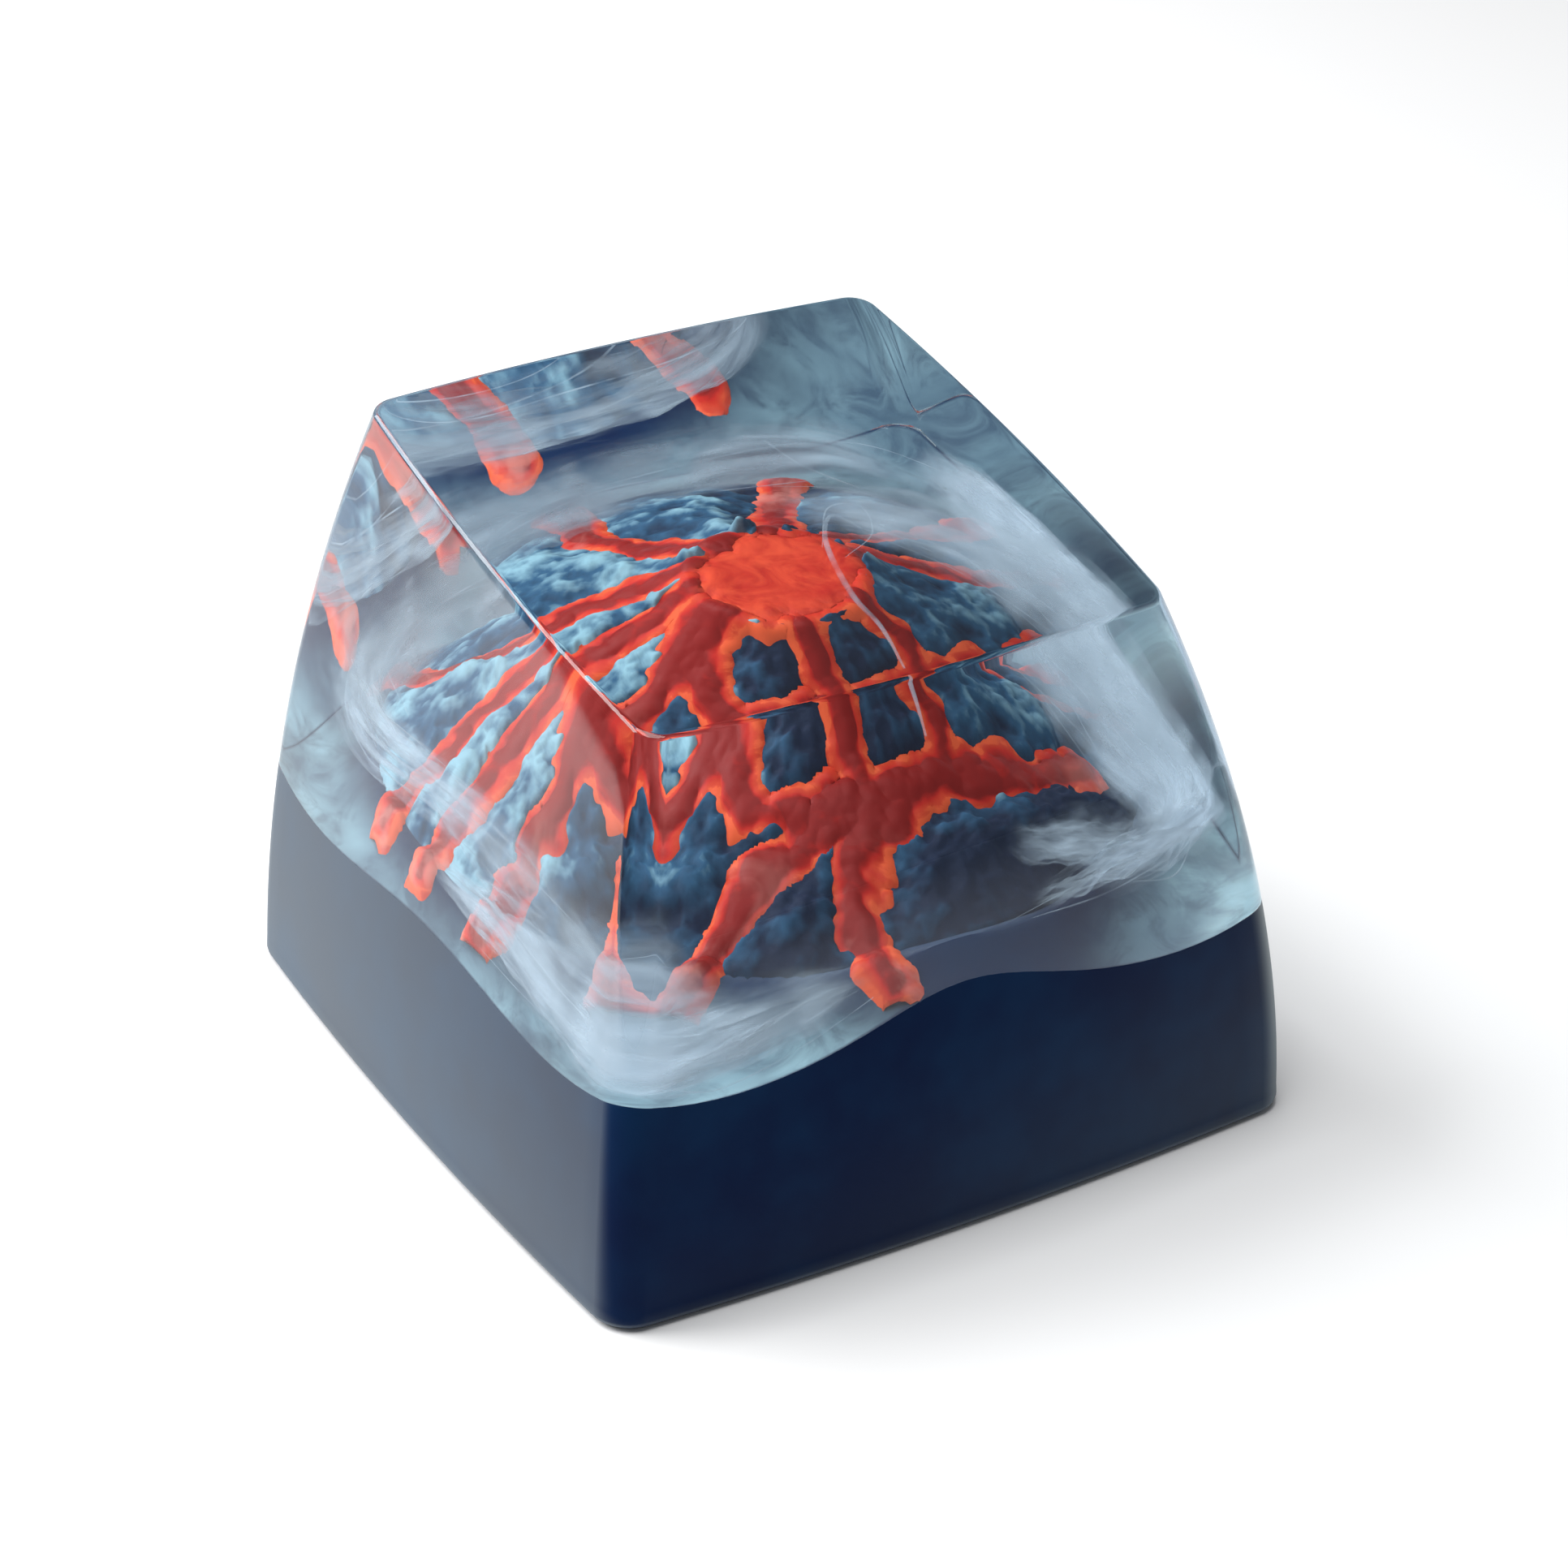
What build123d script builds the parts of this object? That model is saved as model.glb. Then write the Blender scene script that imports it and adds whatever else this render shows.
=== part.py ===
from build123d import *
import math
import os

# Outer form, in millimetres. Front is -Y, and the rim stands on z = 0.
BASE_WIDTH = 18.4
BASE_BOW = 0.33
BASE_CORNER_RADIUS = 0.9
TOP_WIDTH = 13.5
TOP_DEPTH = 13.2
TOP_BOW = 0.25
TOP_CORNER_RADIUS = 0.6
TOP_SET_BACK = 0.38
FRONT_HEIGHT = 12.4
BACK_HEIGHT = 14.8
SIDE_FULLNESS = 0.82
FORM_SECTIONS = 3
TOP_EDGE_RADIUS = 0.2

# Hollow under the skirt
RIM_WALL = 1.5
ROOF_WALL = 1.85
HOLLOW_DEPTH = 4.3
HOLLOW_CORNER_RADIUS = 1.2

# Stem post and its cross socket
POST_DIAMETER = 5.5
POST_RECESS = 0.5
CROSS_LENGTH = 4.1
CROSS_BAR_X = 1.3
CROSS_BAR_Y = 1.1
SOCKET_DEPTH = 3.7
SOCKET_LEAD_IN = 0.15

# Mound on top of the base: a plateau for the volcano, a gutter round it, a lift at the corners
PLATEAU_HEIGHT = 6.3
PLATEAU_LEDGE = 0.25
GUTTER_RADIUS = 10.0
GUTTER_HEIGHT = 5.0
CORNER_RADIUS = 11.8
CORNER_HEIGHT = 5.45
MOUND_BELOW_RIM = 1.0

# Volcano
FOOT_RADIUS = 7.3
RIM_RADIUS = 1.95
RIM_HEIGHT = 10.4
FLANK_HOLLOW = 1.35
ROCK_SECTIONS = 5
RIDGES = 9
GULLY_SHARE = 0.07
CRATER_RADIUS = 1.5
POOL_DROP = 0.25

# Lava
LAVA_DEPTH = 0.45
STREAM_HEAD_WIDTH = 1.0
STREAM_TOE_WIDTH = 0.7

# Middle line of each lava stream in plan, from the crater to past the volcano's foot,
# in shares of the foot radius
STREAMS = {
    "left": [(-0.2, -0.07), (-0.4, -0.13), (-0.63, -0.22), (-1.05, -0.25)],
    "left_upper": [(-0.2, 0.05), (-0.44, 0.07), (-0.63, 0.08), (-1.05, 0.12)],
    "left_link": [(-0.4, -0.13), (-0.4, -0.36), (-0.29, -0.48), (-0.18, -0.52)],
    "middle": [(-0.03, -0.2), (-0.07, -0.38), (-0.05, -0.52)],
    "right_middle": [(0.15, -0.15), (0.22, -0.33), (0.2, -0.48)],
    "band": [(-0.22, -0.52), (0.03, -0.54), (0.22, -0.49), (0.47, -0.44), (0.74, -0.36)],
    "front_left": [(-0.18, -0.52), (-0.44, -0.59), (-0.66, -0.67), (-0.88, -0.82)],
    "front": [(-0.08, -0.57), (-0.19, -0.73), (-0.27, -0.88), (-0.24, -1.06)],
    "right": [(0.2, 0.02), (0.36, 0.05), (0.53, 0.06), (1.04, 0.02)],
    "right_back": [(0.18, 0.12), (0.38, 0.25), (0.72, 0.36), (0.98, 0.4)],
    "back_right": [(0.1, 0.18), (0.22, 0.41), (0.34, 0.64), (0.56, 0.92)],
    "back": [(-0.04, 0.2), (-0.16, 0.47), (-0.25, 0.71), (-0.2, 1.05)],
    "back_left": [(-0.15, 0.15), (-0.35, 0.26), (-0.66, 0.34), (-0.98, 0.42)],
}

# Smoke: swirls of white pigment drawn through the clear resin
SMOKE_SECTIONS = 9
SMOKE_SIDES = 8
SMOKE_TIP_SHARE = 0.3
SMOKE_RADII = {"smoke_crescent": 0.85, "smoke_corner": 0.5, "smoke_back": 0.75}

# Middle line of each swirl: left to right and front to back in shares of the foot radius,
# and height above the plateau in shares of the volcano's height
SMOKE_PATHS = {
    "smoke_crescent": [
        (0.22, 0.41, 0.88),
        (0.52, 0.25, 0.8),
        (0.75, -0.05, 0.61),
        (0.89, -0.44, 0.32),
        (0.93, -0.77, 0.1),
        (0.77, -0.97, 0.0),
        (0.49, -1.03, 0.0),
    ],
    "smoke_corner": [
        (-1.04, 0.07, 0.05),
        (-1.06, -0.3, 0.02),
        (-1.04, -0.82, -0.12),
        (-0.9, -1.01, -0.13),
        (-0.52, -1.05, -0.05),
        (-0.25, -1.05, 0.01),
    ],
    "smoke_back": [
        (-0.95, -0.34, 0.41),
        (-0.97, 0.07, 0.41),
        (-0.92, 0.59, 0.32),
        (-0.62, 0.9, 0.27),
        (0.0, 0.99, 0.29),
        (0.62, 0.88, 0.34),
        (0.89, 0.47, 0.41),
    ],
}


def mix(start, end, share):
    """The value part of the way from start to end."""
    return start + (end - start) * share


def bowed_square(width, depth, bow, corner_radius):
    """A face with four gently bowed sides and round corners."""
    half_width = width / 2 - bow
    half_depth = depth / 2 - bow
    corners = [
        (-half_width, -half_depth),
        (half_width, -half_depth),
        (half_width, half_depth),
        (-half_width, half_depth),
    ]
    middles = [(0, -depth / 2), (width / 2, 0), (0, depth / 2), (-width / 2, 0)]
    sides = [
        ThreePointArc(corners[side], middles[side], corners[(side + 1) % 4])
        for side in range(4)
    ]
    face = make_face(sides)
    return fillet(face.vertices(), corner_radius)


def form_section(share):
    """One section of the outer form, from the rim (0) to the sloping top (1)."""
    inset = share + SIDE_FULLNESS * (share * share - share)
    width = mix(BASE_WIDTH, TOP_WIDTH, inset)
    depth = mix(BASE_WIDTH, TOP_DEPTH, inset)
    rise = share * (BACK_HEIGHT - FRONT_HEIGHT)
    outline = bowed_square(
        width,
        math.hypot(depth, rise),
        mix(BASE_BOW, TOP_BOW, share),
        mix(BASE_CORNER_RADIUS, TOP_CORNER_RADIUS, share),
    )
    middle_height = share * (FRONT_HEIGHT + BACK_HEIGHT) / 2
    tilt = math.degrees(math.atan2(rise, depth))
    return Pos(0, TOP_SET_BACK * inset, middle_height) * Rot(tilt, 0, 0) * outline


def outer_form():
    """The whole cap as one block: bowed walls, sloping flat top, softened top edge."""
    shares = [step / (FORM_SECTIONS - 1) for step in range(FORM_SECTIONS)]
    block = loft([form_section(share) for share in shares])
    top = block.faces().sort_by(Axis.Z)[-1]
    return fillet(top.edges(), TOP_EDGE_RADIUS)


def mound():
    """Everything below the top of the navy pour, as a solid of revolution."""
    outside = BASE_WIDTH
    flank = Spline(
        (FOOT_RADIUS + PLATEAU_LEDGE, 0, PLATEAU_HEIGHT),
        (GUTTER_RADIUS, 0, GUTTER_HEIGHT),
        (CORNER_RADIUS, 0, CORNER_HEIGHT),
    )
    outline = [
        Line((0, 0, -MOUND_BELOW_RIM), (0, 0, PLATEAU_HEIGHT)),
        Line((0, 0, PLATEAU_HEIGHT), flank @ 0),
        flank,
        Line(flank @ 1, (outside, 0, CORNER_HEIGHT)),
        Line((outside, 0, CORNER_HEIGHT), (outside, 0, -MOUND_BELOW_RIM)),
        Line((outside, 0, -MOUND_BELOW_RIM), (0, 0, -MOUND_BELOW_RIM)),
    ]
    return revolve(make_face(outline), Axis.Z)


def hollow():
    """The space under the skirt, narrowing towards the roof."""
    rim_width = BASE_WIDTH - 2 * RIM_WALL
    roof_width = BASE_WIDTH - 2 * ROOF_WALL
    rim = RectangleRounded(rim_width, rim_width, HOLLOW_CORNER_RADIUS)
    roof = RectangleRounded(roof_width, roof_width, HOLLOW_CORNER_RADIUS)
    return loft([rim, Pos(0, 0, HOLLOW_DEPTH) * roof])


def cross(grow):
    """The socket's cross in plan, widened by grow on every side."""
    bar_x = Rectangle(CROSS_LENGTH + 2 * grow, CROSS_BAR_X + 2 * grow)
    bar_y = Rectangle(CROSS_BAR_Y + 2 * grow, CROSS_LENGTH + 2 * grow)
    return bar_x + bar_y


def stem_post():
    """The round post under the roof, with a cross socket open at its lower end."""
    height = HOLLOW_DEPTH - POST_RECESS
    post = Pos(0, 0, POST_RECESS) * Cylinder(
        POST_DIAMETER / 2, height, align=(Align.CENTER, Align.CENTER, Align.MIN)
    )
    socket = Pos(0, 0, POST_RECESS) * extrude(cross(0), SOCKET_DEPTH)
    lead_in = Pos(0, 0, POST_RECESS) * extrude(
        cross(SOCKET_LEAD_IN), SOCKET_LEAD_IN, taper=45
    )
    return post - socket - lead_in


def rock_outline(share):
    """One ridged outline of the volcano, from its foot (0) to its rim (1)."""
    crest = RIM_RADIUS + (FOOT_RADIUS - RIM_RADIUS) * (1 - share) ** FLANK_HOLLOW
    valley = crest * (1 - GULLY_SHARE)
    points = []
    for corner in range(2 * RIDGES):
        reach = valley if corner % 2 else crest
        angle = math.pi * corner / RIDGES
        points.append((reach * math.cos(angle), reach * math.sin(angle)))
    height = mix(PLATEAU_HEIGHT, RIM_HEIGHT, share)
    return Pos(0, 0, height) * make_face(Polyline(points, close=True))


def mountain():
    """The volcano with its crater, before the lava is told apart from the rock."""
    shares = [step / (ROCK_SECTIONS - 1) for step in range(ROCK_SECTIONS)]
    cone = loft([rock_outline(share) for share in shares], ruled=True)
    crater = Pos(0, 0, RIM_HEIGHT - POOL_DROP) * Cylinder(
        CRATER_RADIUS, 2 * POOL_DROP, align=(Align.CENTER, Align.CENTER, Align.MIN)
    )
    return cone - crater


def stream_plan(points):
    """One stream in plan: round-ended stretches that narrow downhill."""
    last = len(points) - 1
    plan = None
    for stretch in range(last):
        ends = []
        for place in (stretch, stretch + 1):
            width = mix(STREAM_HEAD_WIDTH, STREAM_TOE_WIDTH, place / last)
            across, back = points[place]
            middle = Pos(across * FOOT_RADIUS, back * FOOT_RADIUS)
            ends.append(middle * Circle(width / 2))
        hull = make_hull(ends[0].edges() + ends[1].edges())
        plan = hull if plan is None else plan + hull
    return plan


def lava_pour(whole):
    """The pool and the streams: the mountain's own skin inside the streams' plan."""
    plan = Circle(CRATER_RADIUS)
    for points in STREAMS.values():
        plan = plan + stream_plan(points)
    column = Pos(0, 0, PLATEAU_HEIGHT) * extrude(plan, RIM_HEIGHT)
    return (whole & column) - Pos(0, 0, -LAVA_DEPTH) * whole


def smoke_swirl(radius, points):
    """One swirl: a faceted body along its middle line, thickest halfway and drawn out at both ends."""
    volcano_height = RIM_HEIGHT - PLATEAU_HEIGHT
    line = Spline(
        [
            (x * FOOT_RADIUS, y * FOOT_RADIUS, PLATEAU_HEIGHT + lift * volcano_height)
            for x, y, lift in points
        ]
    )
    sections = []
    for step in range(SMOKE_SECTIONS):
        share = step / (SMOKE_SECTIONS - 1)
        swell = max(SMOKE_TIP_SHARE, math.sin(math.pi * share))
        ahead = line % share
        place = Plane(origin=line @ share, x_dir=Vector(0, 0, 1).cross(ahead), z_dir=ahead)
        sections.append(place * RegularPolygon(radius * swell, SMOKE_SIDES))
    return loft(sections, ruled=True)


os.makedirs("parts", exist_ok=True)

form = outer_form()
base_block = form & mound()
whole_mountain = mountain()

base_shell = base_block - hollow() + stem_post()
lava = lava_pour(whole_mountain)
volcano_rock = whole_mountain - lava
clear_space = form - base_block - whole_mountain
smokes = {
    name: smoke_swirl(SMOKE_RADII[name], points) & clear_space
    for name, points in SMOKE_PATHS.items()
}
clear_dome = clear_space
for swirl in smokes.values():
    clear_dome = clear_dome - swirl

nodes = {
    "base_shell": base_shell,
    "volcano_rock": volcano_rock,
    "lava": lava,
    "clear_dome": clear_dome,
    **smokes,
}
for name, piece in nodes.items():
    export_step(piece, f"parts/{name}.step")
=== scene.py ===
"""Resin keycap: clear dome over a small volcano, with lava, smoke and a navy base."""

import math

import bmesh
import bpy
import numpy as np
from bpy.props import FloatProperty, FloatVectorProperty, PointerProperty
from mathutils import Matrix, Vector, noise


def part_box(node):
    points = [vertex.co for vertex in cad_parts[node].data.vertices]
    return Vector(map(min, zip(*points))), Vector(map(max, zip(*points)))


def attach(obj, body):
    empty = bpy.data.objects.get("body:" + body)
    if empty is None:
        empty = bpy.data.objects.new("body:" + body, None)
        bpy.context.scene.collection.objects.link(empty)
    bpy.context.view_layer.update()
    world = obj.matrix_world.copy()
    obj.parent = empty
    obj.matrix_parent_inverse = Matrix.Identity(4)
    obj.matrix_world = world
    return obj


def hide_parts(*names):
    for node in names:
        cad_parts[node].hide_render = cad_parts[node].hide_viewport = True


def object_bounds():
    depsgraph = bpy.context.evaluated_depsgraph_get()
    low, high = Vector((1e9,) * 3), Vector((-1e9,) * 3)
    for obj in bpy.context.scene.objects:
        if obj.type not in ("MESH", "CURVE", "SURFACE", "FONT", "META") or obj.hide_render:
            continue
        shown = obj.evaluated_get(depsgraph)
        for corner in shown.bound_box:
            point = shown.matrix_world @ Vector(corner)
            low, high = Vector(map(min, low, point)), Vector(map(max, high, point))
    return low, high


bl_info = {
    "name": "Volcano keycap",
    "version": (1, 0, 0),
    "blender": (4, 5, 0),
    "location": "3D View > Sidebar > Keycap",
    "description": "Builds a resin keycap with a volcano cast inside it",
    "category": "Mesh",
}

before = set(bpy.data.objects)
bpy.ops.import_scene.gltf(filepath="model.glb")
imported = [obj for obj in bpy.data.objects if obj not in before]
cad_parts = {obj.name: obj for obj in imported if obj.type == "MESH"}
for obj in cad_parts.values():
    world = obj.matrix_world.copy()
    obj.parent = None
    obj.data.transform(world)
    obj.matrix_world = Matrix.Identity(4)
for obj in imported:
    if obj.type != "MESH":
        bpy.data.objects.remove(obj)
CAD_BOX = [list(corner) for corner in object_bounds()]
BASE_LOW, BASE_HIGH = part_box("base_shell")
ROCK_LOW, ROCK_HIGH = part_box("volcano_rock")

MM = 0.001
DOUBLES = 1e-7
BODY = "root"


# Sizes and colours that a user would change

def length(name, description, default):
    """A size property in metres."""
    return FloatProperty(name=name, description=description, default=default, unit="LENGTH", precision=5)


def share(name, description, default):
    """A plain factor."""
    return FloatProperty(name=name, description=description, default=default, subtype="FACTOR")


def colour(name, description, default):
    """A linear colour property."""
    return FloatVectorProperty(name=name, description=description, default=default, subtype="COLOR", size=3)


class KeycapForm(bpy.types.PropertyGroup):
    """The outer form shared by the base and the dome."""

    base_width: length("Base width", "Across the skirt at the rim", BASE_HIGH[0] - BASE_LOW[0])
    base_bow: length("Base bow", "How far each side bulges at the rim", 0.33 * MM)
    base_corner: length("Base corner", "Corner radius at the rim", 0.9 * MM)
    top_width: length("Top width", "Left to right across the top", 13.5 * MM)
    top_depth: length("Top depth", "Front to back across the top", 13.2 * MM)
    top_bow: length("Top bow", "How far each side bulges at the top", 0.25 * MM)
    top_corner: length("Top corner", "Corner radius at the top", 0.6 * MM)
    set_back: length("Set back", "How far the top sits behind the base", 0.38 * MM)
    front_height: length("Front height", "Height of the top's front edge", 12.4 * MM)
    back_height: length("Back height", "Height of the top's back edge", 14.8 * MM)
    fullness: share("Fullness", "How much the walls bulge between rim and top", 0.82)
    edge_radius: length("Top edge", "Polish radius round the top", 0.09 * MM)
    rim_radius: length("Rim edge", "Rounding of the skirt's lower edge", 0.25 * MM)


class KeycapUnderside(bpy.types.PropertyGroup):
    """The hollow skirt and the stem post."""

    rim_wall: length("Rim wall", "Wall thickness at the rim", 1.5 * MM)
    roof_wall: length("Roof wall", "Wall thickness at the roof", 1.85 * MM)
    depth: length("Depth", "From the rim to the roof", 4.3 * MM)
    corner: length("Corner", "Corner radius of the hollow", 1.2 * MM)
    post: length("Post", "Diameter of the stem post", 5.5 * MM)
    recess: length("Recess", "From the rim to the end of the post", 0.5 * MM)
    cross: length("Cross", "Length of the socket's arms", 4.1 * MM)
    bar_x: length("Bar along X", "Width of the arm along X", 1.3 * MM)
    bar_y: length("Bar along Y", "Width of the arm along Y", 1.1 * MM)
    socket: length("Socket", "Depth of the socket", 3.7 * MM)


class KeycapVolcano(bpy.types.PropertyGroup):
    """The mound, the cone and the lava."""

    plateau: length("Plateau", "Height of the mound under the cone", ROCK_LOW[2])
    ledge: length("Ledge", "Plateau left free round the cone's foot", 0.25 * MM)
    gutter_radius: length("Gutter radius", "Where the mound is lowest", 10.0 * MM)
    gutter_height: length("Gutter height", "Height of the mound there", 5.0 * MM)
    corner_radius: length("Corner reach", "Distance of the keycap's corners", 11.8 * MM)
    corner_height: length("Corner height", "Height of the mound at the corners", 5.45 * MM)
    front_wave: length("Front wave", "Extra rise in the middle of the front", 0.35 * MM)
    foot: length("Foot", "Radius of the cone's foot", 7.3 * MM)
    rim: length("Rim", "Radius of the crater's rim", 1.95 * MM)
    height: length("Rim height", "Height of the crater's rim", ROCK_HIGH[2])
    hollow: share("Flank hollow", "How much the flank curves inwards", 1.35)
    pool: length("Pool", "Radius of the lava pool", 1.92 * MM)
    trench: length("Trench", "Depth of the lava's bed in the rock", 0.45 * MM)
    head: length("Stream head", "Width of a stream at the crater", 0.78 * MM)
    toe: length("Stream toe", "Width of a stream at its end", 0.62 * MM)


class KeycapColours(bpy.types.PropertyGroup):
    """Pigments; the dark and pale slate also paint shade and light on the rock."""

    navy: colour("Navy", "Base", (0.0008, 0.008, 0.042))
    navy_light: colour("Navy light", "Paler mottling of the base", (0.0015, 0.02, 0.068))
    # Dark slate: cracks in the rock, and painted shade at its front and on its lower front flank.
    slate_dark_and_painted_shade: colour("Slate dark", "Cracks in the rock", (0.008, 0.015, 0.038))
    slate: colour("Slate", "Rock", (0.024, 0.078, 0.150))
    # Pale slate: raised tops of the rock, and painted light on its left side.
    slate_pale_and_painted_light: colour("Slate pale", "Worn tops of the rock", (0.22, 0.38, 0.46))
    lava_deep: colour("Lava deep", "Middle of the streams", (0.20, 0.006, 0.005))
    lava_red: colour("Lava red", "Body of the streams", (0.44, 0.014, 0.009))
    lava_hot: colour("Lava hot", "Edges of the streams", (0.64, 0.085, 0.028))
    smoke: colour("Smoke", "Wisps in the dome", (0.38, 0.46, 0.54))
    haze: colour("Haze", "Pigment settled on the mound", (0.24, 0.39, 0.46))
    floor: colour("Floor", "Studio floor", (0.90, 0.90, 0.90))


# Lava streams: share of the usual width, and middle line in plan in shares of the cone's foot radius
STREAMS = (
    (1.3, ((-0.2, -0.07), (-0.4, -0.13), (-0.63, -0.22), (-1.05, -0.25))),
    (0.9, ((-0.2, 0.05), (-0.44, 0.07), (-0.63, 0.08), (-1.05, 0.12))),
    (1.1, ((-0.4, -0.13), (-0.4, -0.36), (-0.29, -0.48), (-0.18, -0.52))),
    (0.8, ((-0.03, -0.2), (-0.07, -0.38), (-0.05, -0.52))),
    (0.8, ((0.15, -0.15), (0.22, -0.33), (0.2, -0.48))),
    (1.4, ((-0.22, -0.52), (0.03, -0.54), (0.22, -0.49), (0.47, -0.44), (0.74, -0.36))),
    (1.1, ((-0.18, -0.52), (-0.44, -0.59), (-0.66, -0.67), (-0.88, -0.82))),
    (1.0, ((-0.08, -0.57), (-0.19, -0.73), (-0.27, -0.88), (-0.22, -1.08))),
    (0.8, ((0.2, 0.02), (0.36, 0.05), (0.53, 0.06), (1.04, 0.02))),
    (0.8, ((0.18, 0.12), (0.38, 0.25), (0.72, 0.36), (0.98, 0.4))),
    (0.9, ((0.1, 0.18), (0.22, 0.41), (0.34, 0.64), (0.56, 0.92))),
    (1.1, ((-0.04, 0.2), (-0.16, 0.47), (-0.25, 0.71), (-0.2, 1.05))),
    (1.0, ((-0.15, 0.15), (-0.35, 0.26), (-0.66, 0.34), (-0.98, 0.42))),
)


# Small helpers

def mix(start, end, part):
    """The value part of the way from start to end."""
    return start + (end - start) * part


def smooth_step(low, high, value):
    """0 below low, 1 above high and an S-curve between."""
    part = np.clip((value - low) / (high - low), 0.0, 1.0)
    return part * part * (3.0 - 2.0 * part)


def bumps(x, y, scale, seed, octaves=3):
    """Fractal noise over plan points, about -1 to 1, with features of the given size."""
    shift = Vector((seed * 7.31, seed * 3.17, seed * 5.71))
    values = [
        noise.fractal(Vector((a / scale, b / scale, 0.0)) + shift, 0.9, 2.0, octaves)
        for a, b in zip(x.ravel(), y.ravel())
    ]
    return np.array(values).reshape(x.shape)


def mesh_object(name, points, faces, material, smooth=True):
    """A mesh object at the origin from points in metres."""
    mesh = bpy.data.meshes.new(name)
    mesh.from_pydata([tuple(point) for point in points], [], faces)
    mesh.update()
    for polygon in mesh.polygons:
        polygon.use_smooth = smooth
    mesh.materials.append(material)
    piece = bpy.data.objects.new(name, mesh)
    bpy.context.scene.collection.objects.link(piece)
    return piece


def turn_outwards(piece, merge_distance):
    """Turns all faces outwards, after merging points that are closer than a distance."""
    mesh = bmesh.new()
    mesh.from_mesh(piece.data)
    if merge_distance:
        bmesh.ops.remove_doubles(mesh, verts=mesh.verts, dist=merge_distance)
    bmesh.ops.recalc_face_normals(mesh, faces=mesh.faces)
    mesh.to_mesh(piece.data)
    mesh.free()


def add_attribute(piece, name, values):
    """Stores one number per vertex for the material."""
    layer = piece.data.attributes.new(name, "FLOAT", "POINT")
    layer.data.foreach_set("value", np.asarray(values, dtype=np.float32))


def ring_faces(first, second, count):
    """Quads between two closed rings given by their first vertex index."""
    faces = []
    for step in range(count):
        after = (step + 1) % count
        faces.append((first + step, first + after, second + after, second + step))
    return faces


def capped_stack(name, rings, material, sharp_degrees):
    """A closed piece of rings joined in order and capped, with edges over an angle kept sharp."""
    count = len(rings[0])
    points = [point for ring in rings for point in ring]
    faces = []
    for level in range(len(rings) - 1):
        faces += ring_faces(level * count, (level + 1) * count, count)
    last = len(points) - count
    faces.append(tuple(reversed(range(count))))
    faces.append(tuple(range(last, last + count)))
    piece = mesh_object(name, points, faces, material)
    turn_outwards(piece, 0.0)
    piece.data.set_sharp_from_angle(angle=math.radians(sharp_degrees))
    return piece


# Outer form

SIDE_STEPS = 30
CORNER_STEPS = 10
CORNER_TANGENT = 0.87
CORNER_WEIGHT = 0.755


def form_columns():
    """Side number, kind of stretch and place along it for each column round the form."""
    columns = []
    for side in range(4):
        for step in range(SIDE_STEPS):
            columns.append((side, 0, -1.0 + 2.0 * step / SIDE_STEPS))
        for step in range(CORNER_STEPS):
            columns.append((side, 1, step / CORNER_STEPS))
    return columns


def side_point(side, along, width, depth, bow, radius):
    """A point on one bowed side, with along running from -1 to 1 between its corners' arcs."""
    across, reach = (width, depth) if side % 2 == 0 else (depth, width)
    half = across / 2 - bow
    run = along * (half - CORNER_TANGENT * radius)
    out = reach / 2 - bow * (run / half) ** 2
    turned = ((run, -out), (out, run), (-run, out), (-out, -run))
    return np.array(turned[side])


def outline_point(column, width, depth, bow, radius):
    """One point of the bowed square with round corners."""
    side, kind, along = column
    if kind == 0:
        return side_point(side, along, width, depth, bow, radius)
    start = side_point(side, 1.0, width, depth, bow, radius)
    end = side_point((side + 1) % 4, -1.0, width, depth, bow, radius)
    half_width, half_depth = width / 2 - bow, depth / 2 - bow
    signs = ((1, -1), (1, 1), (-1, 1), (-1, -1))[side]
    corner = np.array((signs[0] * half_width, signs[1] * half_depth))
    weights = ((1 - along) ** 2, 2 * along * (1 - along) * CORNER_WEIGHT, along**2)
    total = sum(weights)
    return (weights[0] * start + weights[1] * corner + weights[2] * end) / total


def wall_point(form, column, height_share, inward=0.0):
    """A point of the outer wall, from the rim (0) to the top (1), moved inwards if asked."""
    inset = height_share + form.fullness * (height_share**2 - height_share)
    width = mix(form.base_width, form.top_width, inset)
    depth = mix(form.base_width, form.top_depth, inset)
    bow = mix(form.base_bow, form.top_bow, height_share)
    radius = mix(form.base_corner, form.top_corner, height_share)
    x, y = outline_point(column, width - 2 * inward, depth - 2 * inward, bow, radius)
    rise = height_share * (form.back_height - form.front_height)
    z = height_share * (form.front_height + form.back_height) / 2 + y / depth * rise
    return np.array((x, y + form.set_back * inset, z))


def mound_height(volcano, x, y):
    """Height of the navy pour's top: plateau, gutter, lift at the corners, wave at the front."""
    r = np.hypot(x, y)
    r0, z0 = volcano.foot + volcano.ledge, volcano.plateau
    r1, z1 = volcano.gutter_radius, volcano.gutter_height
    r2, z2 = volcano.corner_radius, volcano.corner_height
    first = (z1 - z0) / (r1 - r0)
    second = ((z2 - z1) / (r2 - r1) - first) / (r2 - r0)
    sloped = z0 + first * (r - r0) + second * (r - r0) * (r - r1)
    wave = volcano.front_wave * np.exp(-((x / (2.4 * MM)) ** 2)) * smooth_step(6 * MM, 8 * MM, -y)
    return np.where(r < r0, z0, sloped) + wave


def line_share(form, volcano, column):
    """Where on its way up one column of the wall meets the top of the navy pour."""
    low, high = 0.2, 0.7
    for _ in range(40):
        middle = (low + high) / 2
        x, y, z = wall_point(form, column, middle)
        if z < mound_height(volcano, x, y):
            low = middle
        else:
            high = middle
    return (low + high) / 2


# Materials

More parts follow.
